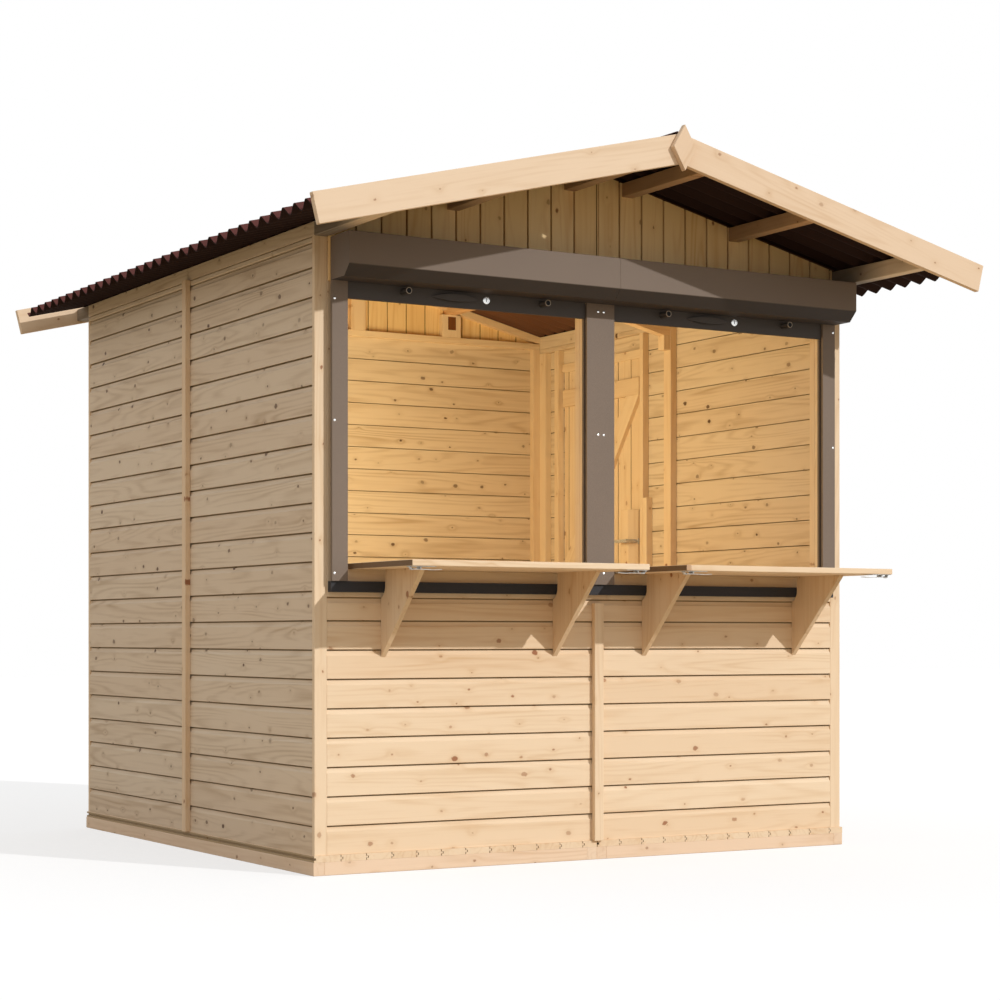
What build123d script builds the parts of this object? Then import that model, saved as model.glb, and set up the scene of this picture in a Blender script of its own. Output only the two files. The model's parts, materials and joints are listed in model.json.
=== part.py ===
from build123d import *
import os
from math import atan2, cos, pi, radians, sin, tan

# A wooden market stall: a boarded shed on a two-part floor, with two serving openings
# under one gable front, roller shutter boxes, fold-up counters and a side door.
# Frame: origin on the ground under the middle of the base, +X to the right seen from
# the customer's side, -Y towards the customer, +Z up. Millimetres.

# ---------------------------------------------------------------- base
base_depth = 1964.0
beam_height = 40.0
beam_width = 37.0
cross_beam_count = 4
floor_thickness = 20.0

# ---------------------------------------------------------------- walls
wall_reveal = 6.0           # the walls stand this far inside the base's edge
cladding = 16.0             # thickness of the boards
stud_depth = 28.0           # the frame behind the boards, across the wall
stud_width = 46.0
slim_stud = 23.0
front_stud_gap = 18.0       # from the front frame to the side walls' first studs
corner_stud = 58.0
wall_height = 1852.0        # floor to the top of the plates
plate_thickness = 18.0
back_plate_height = 25.0
bottom_rail = 28.0
trim_width = 42.0           # upright boards that cover the front corners
trim_thickness = 18.0       # of the strips and of the front gable's boards
batten_width = 31.0         # strips over the joints of the side and back panels
front_batten_width = 34.0
front_batten_height = 762.0
front_batten_shift = 2.0    # the front strip sits a little off its joint
front_board_height = 774.0  # boards under the serving openings

# ---------------------------------------------------------------- serving openings
opening_width = 850.0
post_width = 81.0           # from the side walls' inner face to the guides' edge
guide_width = 52.0
guide_flange = 11.0         # front plate of a guide
guide_body_width = 37.0
guide_slot_width = 12.0
guide_slot_depth = 22.0
sill_height = 83.0
shutter_sill_drop = 36.0    # the metal sill's top edge below the wooden sill's top
shutter_sill_height = 33.0
shutter_sill_depth = 20.0
box_bottom = 1719.0         # above the floor
box_height = 130.0
box_depth = 126.0
box_bevel = 34.0
bar_height = 50.0
bar_thickness = 10.0
stopper_diameter = 20.0
stopper_length = 40.0
stopper_rise = 33.0         # above the bar's lower edge
stopper_left_inset = 191.0  # from the sides of the opening
stopper_right_inset = 165.0
pull_inset = 373.0          # middle of the pull from the opening's left side
pull_width = 175.0
pull_depth = 18.0
pull_height = 22.0
pull_rise = 28.0            # above the bar's lower edge
lintel_height = 60.0

# ---------------------------------------------------------------- counters
counter_side_gap = 16.5     # between a counter's end and the post
counter_reach = 452.0
counter_thickness = 18.0
bracket_inset_left = 117.5  # bracket's middle from the counter's left end
bracket_inset_right = 86.5
bracket_thickness = 16.0
bracket_reach = 258.0
bracket_height = 265.0
notch_height = 84.0         # hollow at the back of a bracket, which passes the shutter's sill
notch_depth = 28.0
notch_rise = 36.0           # height of its curved foot
hinge_inset = 130.0         # counter hinge from the counter's end
knuckle_length = 20.0
knuckle_radius = 3.0
knuckle_offset = 0.5        # of a hinge's barrel from the face that carries its leaf
leaf_thickness = 1.5
leaf_height = 15.0
latch_length = 105.0
latch_width = 42.0
latch_height = 12.0
latch_inset = 3.0

# ---------------------------------------------------------------- door in the right wall
door_corner = 147.0         # back wall's frame to the doorway's edge on the hinge side
door_width = 597.0
door_head = 1751.0          # above the floor
door_gap = 6.0
door_threshold_gap = 6.0
ledge_width = 68.0
ledge_thickness = 18.0
ledge_end_gap = 14.0
upper_ledge_drop = 84.0     # top of the upper ledge below the head of the doorway
lower_ledge_rise = 150.0
brace_width = 74.0
far_stud = 30.0
lock_board_inset = 12.0     # from the door's edge
lock_board_width = 78.0
lock_board_height = 248.0
lock_case_inset = 41.0
lock_case_thickness = 32.0
lock_case_width = 49.0
lock_case_height = 176.0
keep_block_width = 25.0
keep_block_height = 332.0
head_stop_thickness = 8.0   # strip that the door's upper edge closes against
head_stop_height = 34.0
head_stop_lap = 8.0
lever_height = 1027.0       # above the floor
lever_inset = 22.0
lever_length = 96.0
lever_thickness = 12.0
lever_reach = 44.0          # of the outer lever from the wall
lever_clearance = 26.0      # of the inner lever's face from the lock's case
spindle_diameter = 15.0
rose_diameter = 28.0
rose_thickness = 4.0
strap_length = 300.0
strap_width = 34.0
strap_thickness = 3.0
strap_radius = 4.5
strap_knuckle = 26.0
strap_plate = 44.0
strap_low = 250.0           # middle of the lower hinge above the floor
strap_high = 1500.0

# ---------------------------------------------------------------- roof
roof_pitch = 13.73          # degrees
roof_front = 472.0          # the front fascia's face ahead of the base's edge
roof_back = 136.0           # the rear fascia's outer face behind the base's edge
eave_overhang = 230.0       # fascia's top corner outside the base's edge
fascia_width = 90.0
fascia_thickness = 19.0
crest_drop = 8.0            # the sheet's crests below the fascia's top edge
sheet_depth = 29.0          # valley underside to crest top
sheet_thickness = 3.0
wave_pitch = 76.0
sheet_end_gap = 3.0
sheet_eave_gap = 9.0
right_fascia_cut = 19.0     # the right fascias are shorter than the left ones
right_sheet_cut = 34.0      # and so is the right sheet
sheet_back_gap = 61.0       # from the rear fascia
sheet_ridge_gap = 14.0
purlin_width = 42.0
purlin_height = 40.0        # under the sheet, at the purlin's middle
wall_purlin_height = 48.0   # on the side walls
upper_purlin = 110.0        # middle of the purlin from the ridge
middle_purlin = 535.0
upper_prop_width = 64.0     # blocks under the purlins at the back gable
middle_prop_width = 85.0
gable_rail_height = 27.0
mid_rafter_height = 77.0
rafter_notch = 5.0          # depth of the purlins' seats in the middle rafters
mid_rafter_width = 40.0
rafter_seat = 32.0
rafter_block_height = 56.0
cap_leg = 115.0
cap_thickness = 3.0
cap_rise = 16.0
diamond_half_width = 42.0
diamond_half_height = 71.0

# ---------------------------------------------------------------- clearances
running_gap = 0.3           # between pieces that lie on each other but are not joined
channel_gap = 1.0

# ---------------------------------------------------------------- places that follow
openings_width = 2 * (guide_width + opening_width)
base_width = 2 * post_width + openings_width + 2 * (cladding + wall_reveal)
half_width = base_width / 2
half_depth = base_depth / 2
floor_top = beam_height + floor_thickness
wall_top = floor_top + wall_height
cladding_top = wall_top - plate_thickness
shell_x = half_width - wall_reveal           # outer face of the side walls
inner_x = shell_x - cladding
frame_x = inner_x - stud_depth               # inner face of the side walls' studs
shell_front = -half_depth + wall_reveal      # outer face of the front boards
trim_face = shell_front - trim_thickness     # face of the strips fixed on those boards
frame_front = shell_front + cladding
room_front = frame_front + stud_depth
shell_back = half_depth - wall_reveal
frame_back = shell_back - cladding
room_back = frame_back - stud_depth
front_board_top = floor_top + front_board_height
sill_top = front_board_top + sill_height
box_low = floor_top + box_bottom
trim_inner = shell_x - trim_width

slope = tan(radians(roof_pitch))
under_drop = (crest_drop + sheet_depth) / cos(radians(roof_pitch)) + running_gap
wall_purlin_x = shell_x - purlin_width / 2
purlin_places = (upper_purlin, middle_purlin)
eave_run = half_width + eave_overhang
ridge_top = wall_top + wall_purlin_height + under_drop + wall_purlin_x * slope
front_fascia_back = -half_depth - roof_front + fascia_thickness
rear_fascia_front = half_depth + roof_back - fascia_thickness

opening_edge = guide_width + opening_width   # outer guides' inner edges from the middle
counter_width = opening_width - 2 * counter_side_gap
counter_middles = (
    -guide_width - opening_width / 2,
    guide_width + opening_width / 2,
)
counter_hinge_y = room_front + knuckle_radius + knuckle_offset
door_far = room_back - door_corner
door_near = door_far - door_width
door_hinge_x = shell_x + strap_radius + knuckle_offset
door_hinge_y = door_far - door_gap / 2


def block(x_range, y_range, z_range):
    """A box between two planes along each axis."""
    size = [high - low for low, high in (x_range, y_range, z_range)]
    middle = [(high + low) / 2 for low, high in (x_range, y_range, z_range)]
    return Pos(*middle) * Box(*size)


def across(points, y_range):
    """A plate with its outline given as (x, z) points, between two y planes."""
    low, high = y_range
    outline = Polyline(*[(x, low, z) for x, z in points], close=True)
    return extrude(make_face(outline), amount=high - low, dir=(0, 1, 0))


def along(points, x_range):
    """A plate with its outline given as (y, z) points, between two x planes."""
    low, high = x_range
    outline = Polyline(*[(low, y, z) for y, z in points], close=True)
    return extrude(make_face(outline), amount=high - low, dir=(1, 0, 0))


def pin_x(x_range, y, z, radius):
    """A round bar along X."""
    low, high = x_range
    return Pos((low + high) / 2, y, z) * Rot(0, 90, 0) * Cylinder(radius, high - low)


def pin_y(x, y_range, z, radius):
    """A round bar along Y."""
    low, high = y_range
    return Pos(x, (low + high) / 2, z) * Rot(90, 0, 0) * Cylinder(radius, high - low)


def pin_z(x, y, z_range, radius):
    """A round bar along Z."""
    low, high = z_range
    return Pos(x, y, (low + high) / 2) * Cylinder(radius, high - low)


def mirrored(pair, side):
    """The same range on the side given as -1 or 1."""
    return tuple(sorted((side * pair[0], side * pair[1])))


def roof_line(x):
    """Height of the fascia's top edge at a distance x from the ridge."""
    return ridge_top - abs(x) * slope


def save(name, solids):
    """Write one node, made of one solid or of several that stand apart."""
    shape = solids if not isinstance(solids, list) else Compound(children=solids)
    shape.label = name
    export_step(shape, f"parts/{name}.step")


# ---------------------------------------------------------------- base
def floor_side_beams(side):
    """The two beams under one floor half, along its outer and inner edges."""
    length = (-half_depth, half_depth)
    height = (0, beam_height)
    outer = mirrored((half_width - beam_width, half_width), side)
    inner = mirrored((0, beam_width), side)
    return [block(outer, length, height), block(inner, length, height)]


def floor_cross_beams():
    """Short beams between the long ones, at the ends and evenly between."""
    pitch = (base_depth - beam_width) / (cross_beam_count - 1)
    beams = []
    for side in (-1, 1):
        width = mirrored((beam_width, half_width - beam_width), side)
        for index in range(cross_beam_count):
            front = -half_depth + index * pitch
            beams.append(block(width, (front, front + beam_width), (0, beam_height)))
    return beams


def floor_half(side):
    return block(
        mirrored((0, half_width), side), (-half_depth, half_depth), (beam_height, floor_top)
    )


# ---------------------------------------------------------------- walls
def side_panel(side, y_range, z_range):
    return block(mirrored((inner_x, shell_x), side), y_range, z_range)


def side_studs(side, ranges):
    """Upright studs on the inner face of a side wall."""
    width = mirrored((frame_x, inner_x), side)
    return [block(width, y_range, (floor_top, cladding_top)) for y_range in ranges]


def side_plate(side):
    """The plate on top of a side wall, between the corner boards and the back wall."""
    height = (cladding_top, wall_top)
    outer = block(mirrored((inner_x, shell_x), side), (frame_front, shell_back), height)
    inner = block(mirrored((frame_x, inner_x), side), (room_front, room_back), height)
    return outer + inner


front_stud = (room_front + front_stud_gap, room_front + front_stud_gap + stud_width)
middle_stud = (-stud_width / 2, stud_width / 2)
rear_stud = (room_back - stud_width, room_back)
near_door_stud = (door_near - slim_stud, door_near)
far_door_stud = (door_far, door_far + far_stud)


def front_post(x_range):
    """A post of the front frame, thin behind the boards and full depth above them."""
    outline = [
        (frame_front, floor_top),
        (room_front, floor_top),
        (room_front, wall_top),
        (shell_front, wall_top),
        (shell_front, front_board_top),
        (frame_front, front_board_top),
    ]
    post = along(outline, x_range)
    for side in (-1, 1):
        post = post - corner_trim(side)
    return post


def corner_trim(side):
    """The upright board at a front corner, flush with the front boards."""
    return block(mirrored((trim_inner, shell_x), side), (shell_front, frame_front),
                 (floor_top, wall_top))


left_post = (-inner_x, -opening_edge)
middle_post = (-guide_width, guide_width)
right_post = (opening_edge, inner_x)
left_opening = (left_post[1], middle_post[0])
right_opening = (middle_post[1], right_post[0])


def between(first, second):
    return (first[1], second[0])


def wall_rails():
    """Bottom rails between the studs of every wall and lintels between the front posts."""
    low = (floor_top, floor_top + bottom_rail)
    rails = []
    for gap in (between(front_stud, middle_stud), between(middle_stud, rear_stud)):
        rails.append(block((-inner_x, -frame_x), gap, low))
    right_gaps = (
        between(front_stud, middle_stud),
        between(middle_stud, near_door_stud),
        between(far_door_stud, rear_stud),
    )
    for gap in right_gaps:
        rails.append(block((frame_x, inner_x), gap, low))
    for side in (-1, 1):
        gap = mirrored((stud_width / 2, inner_x - corner_stud), side)
        rails.append(block(gap, (room_back, frame_back), low))
    for gap in (left_opening, right_opening):
        rails.append(block(gap, (frame_front, room_front), low))
        rails.append(block(gap, (shell_front, room_front), (box_low, box_low + lintel_height)))
    return rails


# ---------------------------------------------------------------- roof
def purlin_bottom(middle):
    """Height of a purlin's level underside; the wall purlins lie on the plates."""
    height = wall_purlin_height if middle == wall_purlin_x else purlin_height
    return roof_line(middle) - under_drop - height


def purlin(middle, side):
    """A purlin along the whole roof, its top planed to the slope and its bottom level."""
    near = middle - purlin_width / 2
    far = middle + purlin_width / 2
    outline = [
        (side * near, roof_line(near) - under_drop),
        (side * far, roof_line(far) - under_drop),
        (side * far, purlin_bottom(middle)),
        (side * near, purlin_bottom(middle)),
    ]
    return across(outline, (front_fascia_back, rear_fascia_front))


def purlins(side):
    return [purlin(middle, side) for middle in (*purlin_places, wall_purlin_x)]


def gable_boards(y_range, low):
    """Upright boards from a level edge up to the roof, notched round the purlins."""
    top = roof_line(trim_inner) - under_drop
    outline = [
        (-trim_inner, low),
        (trim_inner, low),
        (trim_inner, top),
        (0, roof_line(0) - under_drop),
        (-trim_inner, top),
    ]
    gable = across(outline, y_range)
    for side in (-1, 1):
        for piece in purlins(side):
            gable = gable - piece
    return gable


def sloping_rail(side, y_range):
    """A rail under the roof on the inside of a gable, cut through by the purlins."""
    near = roof_line(0) - under_drop
    far = roof_line(trim_inner) - under_drop
    outline = [
        (0, near),
        (side * trim_inner, far),
        (side * trim_inner, far - gable_rail_height),
        (0, near - gable_rail_height),
    ]
    rail = across(outline, y_range)
    for piece in purlins(side):
        rail = rail - piece
    return rail.solids()


rafter_drop = under_drop + purlin_height - rafter_notch


def rafter_low(x):
    """Height of the middle rafter's sloping underside."""
    return roof_line(x) - rafter_drop - mid_rafter_height


def mid_rafter(side):
    """The rafter notched under the purlins half way back, from ridge to side wall."""
    seat_start = frame_x - rafter_seat
    seat = rafter_low(seat_start)
    outline = [
        (0, roof_line(0) - rafter_drop),
        (side * frame_x, roof_line(frame_x) - rafter_drop),
        (side * frame_x, seat),
        (side * seat_start, seat),
        (0, rafter_low(0)),
    ]
    rafter = across(outline, (-mid_rafter_width / 2, mid_rafter_width / 2))
    for piece in purlins(side):
        rafter = rafter - piece
    return rafter


def rafters(side):
    front = sloping_rail(side, (shell_front, shell_front + stud_depth))
    back = sloping_rail(side, (room_back, frame_back))
    return [*front, mid_rafter(side), *back]


def frame_blocks():
    """Short blocks: under the purlins at the back gable and under the rafter's ends."""
    blocks = []
    low = wall_top + back_plate_height
    for side in (-1, 1):
        for middle, width in zip(purlin_places, (upper_prop_width, middle_prop_width)):
            reach = mirrored((middle - width / 2, middle + width / 2), side)
            prop = block(reach, (room_back, frame_back), (low, purlin_bottom(middle)))
            for piece in sloping_rail(side, (room_back, frame_back)):
                prop = prop - piece
            blocks.append(prop)
        seat = rafter_low(frame_x - rafter_seat)
        width = mirrored((frame_x - stud_depth, frame_x), side)
        depth = (-mid_rafter_width / 2, mid_rafter_width / 2)
        blocks.append(block(width, depth, (seat - rafter_block_height, seat)))
    return blocks


def roof_sheet(side):
    """One corrugated sheet; its waves run down the slope from the ridge to the eave."""
    pitch = radians(roof_pitch)
    down = Vector(side * cos(pitch), 0, -sin(pitch))
    out = Vector(side * sin(pitch), 0, cos(pitch))
    start = Vector(0, 0, roof_line(0)) + out * (-crest_drop - sheet_depth) + down * sheet_ridge_gap
    first = front_fascia_back + sheet_end_gap
    last = rear_fascia_front - sheet_back_gap
    swing = (sheet_depth - sheet_thickness) / 2
    steps = round((last - first) / (wave_pitch / 4))
    step = (last - first) / steps
    lower = []
    for index in range(steps + 1):
        rise = swing * (1 - cos((index - 1) * pi / 2))
        lower.append(start + Vector(0, first + index * step, 0) + out * rise)
    upper = [point + out * sheet_thickness for point in lower]
    outline = [
        Spline(*lower),
        Line(lower[-1], upper[-1]),
        Spline(*upper),
        Line(upper[0], lower[0]),
    ]
    reach = eave_run - sheet_eave_gap - (right_sheet_cut if side > 0 else 0)
    length = reach / cos(pitch) - sheet_ridge_gap - sheet_depth * tan(pitch)
    return extrude(make_face(outline), amount=length, dir=down)


def ridge_cap():
    """A folded cap along the ridge, resting on the crests of both sheets."""
    crest = (crest_drop - running_gap) / cos(radians(roof_pitch))
    edge = roof_line(cap_leg) - crest
    top = roof_line(0) - crest + cap_rise
    outline = [
        (-cap_leg, edge),
        (0, top),
        (cap_leg, edge),
        (cap_leg, edge + cap_thickness),
        (0, top + cap_thickness),
        (-cap_leg, edge + cap_thickness),
    ]
    y_range = (front_fascia_back + sheet_end_gap, rear_fascia_front - sheet_end_gap)
    return across(outline, y_range)


def fascia(side, y_range):
    """A sloping board that closes half a gable, its lower end cut square."""
    pitch = radians(roof_pitch)
    reach = eave_run - (right_fascia_cut if side > 0 else 0)
    outline = [
        (0, roof_line(0)),
        (side * reach, roof_line(reach)),
        (side * (reach - fascia_width * sin(pitch)),
         roof_line(reach) - fascia_width * cos(pitch)),
        (0, roof_line(0) - fascia_width / cos(pitch)),
    ]
    return across(outline, y_range)


def diamond(y_range):
    """The lozenge that covers the joint of two fascia boards."""
    middle = roof_line(0) - fascia_width / cos(radians(roof_pitch)) / 2
    outline = [
        (0, middle + diamond_half_height),
        (diamond_half_width, middle),
        (0, middle - diamond_half_height),
        (-diamond_half_width, middle),
    ]
    return across(outline, y_range)


# ---------------------------------------------------------------- shutters
guide_face = trim_face - guide_flange
guide_low = sill_top - shutter_sill_drop
slot_middle = (guide_face + shell_front) / 2


def guide(side):
    """An outer guide: a wide front plate, a narrower channel and the curtain's slot."""
    edge = opening_edge
    flange = mirrored((edge, edge + guide_width), side)
    body = mirrored((edge, edge + guide_body_width), side)
    slot = mirrored((edge, edge + guide_slot_depth), side)
    height = (guide_low, box_low)
    rail = block(flange, (guide_face, trim_face), height)
    rail = rail + block(body, (trim_face, shell_front), height)
    rail = rail - block(slot, slot_range, height)
    return rail


slot_range = (slot_middle - guide_slot_width / 2, slot_middle + guide_slot_width / 2)


def middle_guide():
    """The two guides back to back between the openings."""
    height = (guide_low, box_low)
    rail = block((-guide_width, guide_width), (guide_face, shell_front), height)
    for side in (-1, 1):
        slot = mirrored((guide_width - guide_slot_depth, guide_width), side)
        rail = rail - block(slot, slot_range, height)
    return rail


def shutter_box(side):
    """The box round one rolled-up shutter, with its lower front edge bevelled."""
    low = box_low
    high = box_low + box_height
    face = trim_face - box_depth
    outline = [
        (trim_face, low),
        (trim_face, high),
        (face, high),
        (face, low + box_bevel),
        (face + box_bevel, low),
    ]
    x_range = mirrored((0, opening_edge + guide_width), side)
    return along(outline, x_range)


def pull_lip(x, face, level):
    """A lip that bulges forward and fades out at both ends, in plan and in front view."""
    half = pull_width / 2
    base = level - pull_height / 2
    start = (x - half, face, base)
    end = (x + half, face, base)
    plan = make_face([ThreePointArc(start, (x, face - pull_depth, base), end), Line(end, start)])
    start = (x - half, face, level)
    end = (x + half, face, level)
    front = make_face([
        ThreePointArc(start, (x, face, level + pull_height / 2), end),
        ThreePointArc(end, (x, face, level - pull_height / 2), start),
    ])
    bulge = extrude(plan, amount=pull_height, dir=(0, 0, 1))
    return bulge & extrude(front, amount=pull_depth, dir=(0, -1, 0))


def shutter_bar(middle):
    """A shutter's bottom bar with its two stops and the bulging pull lip."""
    width = (middle - opening_width / 2 + channel_gap, middle + opening_width / 2 - channel_gap)
    depth = (slot_middle - bar_thickness / 2, slot_middle + bar_thickness / 2)
    low = box_low - bar_height
    bar = block(width, depth, (low, box_low))
    left = middle - opening_width / 2
    right = middle + opening_width / 2
    for x in (left + stopper_left_inset, right - stopper_right_inset):
        reach = (depth[0] - stopper_length, depth[0])
        bar = bar + pin_y(x, reach, low + stopper_rise, stopper_diameter / 2)
    return bar + pull_lip(left + pull_inset, depth[0], low + pull_rise)


# ---------------------------------------------------------------- counters
def counter(middle):
    width = (middle - counter_width / 2, middle + counter_width / 2)
    return block(width, (room_front - counter_reach, room_front),
                 (sill_top, sill_top + counter_thickness))


def hinge_middles(middle):
    reach = counter_width / 2 - hinge_inset
    return (middle - reach, middle + reach)


def counter_hinge_plates():
    """The fixed leaves of the counters' hinges, on the sills' inner faces."""
    plates = []
    for middle in counter_middles:
        for x in hinge_middles(middle):
            for side in (-1, 1):
                width = mirrored((knuckle_length / 2, 3 * knuckle_length / 2), side)
                width = (x + width[0], x + width[1])
                leaf = block(width, (room_front, room_front + leaf_thickness),
                             (sill_top - leaf_height - running_gap, sill_top - running_gap))
                plates.append(leaf + pin_x(width, counter_hinge_y, sill_top, knuckle_radius))
    return plates


def latch(x_end, inward):
    """A toggle latch under a counter's front corner."""
    front = room_front - counter_reach + latch_inset
    reach = sorted((x_end, x_end + inward * latch_length))
    return block(reach, (front, front + latch_width), (sill_top - latch_height, sill_top))


def counter_hardware(middle):
    """The moving hinge leaves and the two corner latches of one counter."""
    parts = []
    for x in hinge_middles(middle):
        half = knuckle_length / 2 - running_gap
        width = (x - half, x + half)
        leaf = block(width, (room_front, room_front + leaf_thickness),
                     (sill_top + running_gap, sill_top + leaf_height))
        parts.append(leaf + pin_x(width, counter_hinge_y, sill_top, knuckle_radius))
    half = counter_width / 2
    parts.append(latch(middle - half, 1))
    parts.append(latch(middle + half, -1))
    return parts


def bracket(x):
    """A three-cornered bracket, hollowed at the back to pass the shutter's sill."""
    low = sill_top - bracket_height
    notch_low = sill_top - notch_height
    radius = (notch_depth ** 2 + notch_rise ** 2) / (2 * notch_depth)
    centre = (shell_front - notch_depth + radius, notch_low + notch_rise)
    turn = atan2(notch_rise, radius - notch_depth) / 2
    heel = (x, shell_front, low)
    notch_start = (x, shell_front, notch_low)
    notch_middle = (x, centre[0] - radius * cos(turn), centre[1] - radius * sin(turn))
    notch_end = (x, shell_front - notch_depth, notch_low + notch_rise)
    back = (x, shell_front - notch_depth, sill_top)
    toe = (x, shell_front - bracket_reach, sill_top)
    outline = [
        Line(heel, notch_start),
        ThreePointArc(notch_start, notch_middle, notch_end),
        Line(notch_end, back),
        Line(back, toe),
        Line(toe, heel),
    ]
    return extrude(make_face(outline), amount=bracket_thickness, dir=(1, 0, 0))


def brackets():
    pieces = []
    for middle in counter_middles:
        left_end = middle - counter_width / 2
        right_end = middle + counter_width / 2
        for x in (left_end + bracket_inset_left, right_end - bracket_inset_right):
            pieces.append(bracket(x - bracket_thickness / 2))
    return pieces


# ---------------------------------------------------------------- door
door_low = floor_top + door_threshold_gap
door_high = floor_top + door_head - door_gap
leaf_near = door_near + door_gap
leaf_far = door_far - door_gap
upper_ledge = (floor_top + door_head - upper_ledge_drop - ledge_width,
               floor_top + door_head - upper_ledge_drop)
lower_ledge = (floor_top + lower_ledge_rise, floor_top + lower_ledge_rise + ledge_width)
middle_ledge = ((upper_ledge[0] + lower_ledge[0]) / 2, (upper_ledge[1] + lower_ledge[1]) / 2)


def door_leaf():
    return block((inner_x, shell_x), (leaf_near, leaf_far), (door_low, door_high))


def door_ledges():
    """Three ledges and the two braces that rise towards the lock side, on the inside."""
    near = leaf_near + ledge_end_gap
    far = leaf_far - ledge_end_gap
    depth = (inner_x - ledge_thickness, inner_x)
    ledges = (lower_ledge, middle_ledge, upper_ledge)
    frame = [block(depth, (near, far), ledge) for ledge in ledges]
    for below, above in zip(ledges[:-1], ledges[1:]):
        foot, head = below[1], above[0]
        step = brace_step(far - near, head - foot)
        outline = [(far, foot), (far - step, foot), (near, head), (near + step, head)]
        frame.append(along(outline, depth))
    whole = frame[0]
    for piece in frame[1:]:
        whole = whole + piece
    return whole


def brace_step(run, rise):
    """Length of a brace's level end cut, for a brace of brace_width between two corners."""
    step = 0.0
    for _ in range(20):
        step = brace_width / cos(atan2(run - step, rise))
    return step


def lever_range(height):
    """A stretch of the given height round the lever's level."""
    middle = floor_top + lever_height
    return (middle - height / 2, middle + height / 2)


def lock_blocks():
    """The flat board that stands on the middle ledge, and the block over the lock's case."""
    near = leaf_near + lock_board_inset
    face = inner_x - ledge_thickness
    board = block((face, inner_x), (near, near + lock_board_width),
                  (middle_ledge[1], lever_range(lock_board_height)[1]))
    near = leaf_near + lock_case_inset
    case = block((face - lock_case_thickness, face), (near, near + lock_case_width),
                 lever_range(lock_case_height))
    return board + case


def keep_block():
    """The block beside the door post that the lock closes against."""
    near = near_door_stud[0]
    return block((frame_x, inner_x), (near - keep_block_width, near),
                 lever_range(keep_block_height))


def head_stop():
    """The strip inside the wall that the door's upper edge closes against."""
    head = floor_top + door_head
    low = head - head_stop_lap
    return block((inner_x - head_stop_thickness, inner_x), (door_near, door_far),
                 (low, low + head_stop_height))


def lever(face, outward, reach):
    """A lever handle on one face of the door: rose, neck and grip."""
    y = leaf_near + lever_inset
    z = floor_top + lever_height
    rose_x = sorted((face, face + outward * rose_thickness))
    neck_x = sorted((face, face + outward * reach))
    grip_x = sorted((face + outward * (reach - lever_thickness), face + outward * reach))
    rose = pin_x(rose_x, y, z, rose_diameter / 2)
    neck = pin_x(neck_x, y, z, spindle_diameter / 2)
    grip = block(grip_x, (y, y + lever_length), (z - lever_thickness / 2, z + lever_thickness / 2))
    return rose + neck + grip


def door_handles():
    inner_reach = lock_case_thickness + lever_clearance
    return [lever(inner_x - ledge_thickness, -1, inner_reach), lever(shell_x, 1, lever_reach)]


def strap_ranges(level):
    middle = floor_top + level
    half = strap_width / 2
    return (middle - half, middle + half)


def door_straps():
    """Long strap leaves on the outside of the door, each with the middle knuckle."""
    straps = []
    for level in (strap_low, strap_high):
        height = strap_ranges(level)
        leaf = block((shell_x, shell_x + strap_thickness),
                     (door_hinge_y - strap_length, door_hinge_y), height)
        straps.append(leaf + pin_z(door_hinge_x, door_hinge_y, height, strap_radius))
    return straps


def strap_plates():
    """The plates on the wall beside the door, with the outer knuckles of each hinge."""
    plates = []
    for level in (strap_low, strap_high):
        low, high = strap_ranges(level)
        low = low - running_gap
        high = high + running_gap
        near = door_hinge_y + strap_radius + channel_gap
        plate = block((shell_x, shell_x + strap_thickness), (near, near + strap_plate),
                      (low - strap_knuckle, high + strap_knuckle))
        for height in ((low - strap_knuckle, low), (high, high + strap_knuckle)):
            plate = plate + block((shell_x, shell_x + strap_thickness),
                                  (door_hinge_y, near), height)
            plate = plate + pin_z(door_hinge_x, door_hinge_y, height, strap_radius)
        plates.append(plate)
    return plates


# ---------------------------------------------------------------- build
os.makedirs("parts", exist_ok=True)

save("floor_beams_left", floor_side_beams(-1))
save("floor_beams_right", floor_side_beams(1))
save("floor_cross_beams", floor_cross_beams())
save("floor_left", floor_half(-1))
save("floor_right", floor_half(1))

full = (floor_top, cladding_top)
save("left_wall_front", side_panel(-1, (frame_front, 0), full))
save("left_wall_rear", side_panel(-1, (0, shell_back), full))
save("left_wall_studs", side_studs(-1, (front_stud, middle_stud, rear_stud)))
save("right_wall_front", side_panel(1, (frame_front, 0), full))
save("right_wall_middle", side_panel(1, (0, door_near), full))
save("right_wall_rear", side_panel(1, (door_far, shell_back), full))
save("right_wall_over_door",
     side_panel(1, (door_near, door_far), (floor_top + door_head, cladding_top)))
save("right_wall_studs",
     side_studs(1, (front_stud, middle_stud, near_door_stud, far_door_stud, rear_stud)))
save("side_wall_plates", [side_plate(-1), side_plate(1)])

back_boards = (frame_back, shell_back)
save("back_wall_left", block((-inner_x, 0), back_boards, (floor_top, wall_top)))
save("back_wall_right", block((0, inner_x), back_boards, (floor_top, wall_top)))
back_studs = [(-inner_x, corner_stud - inner_x), middle_stud, (inner_x - corner_stud, inner_x)]
back_frame = (room_back, frame_back)
save("back_wall_studs", [block(x, back_frame, (floor_top, wall_top)) for x in back_studs])
back_plate = block((-trim_inner, trim_inner), back_frame,
                   (wall_top, wall_top + back_plate_height))

front_boards = (shell_front, frame_front)
front_height = (floor_top, front_board_top)
save("front_wall_left", block((-trim_inner, 0), front_boards, front_height))
save("front_wall_right", block((0, trim_inner), front_boards, front_height))
save("front_wall_posts", [front_post(x) for x in (left_post, middle_post, right_post)])
save("wall_rails", [*wall_rails(), back_plate])

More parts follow.
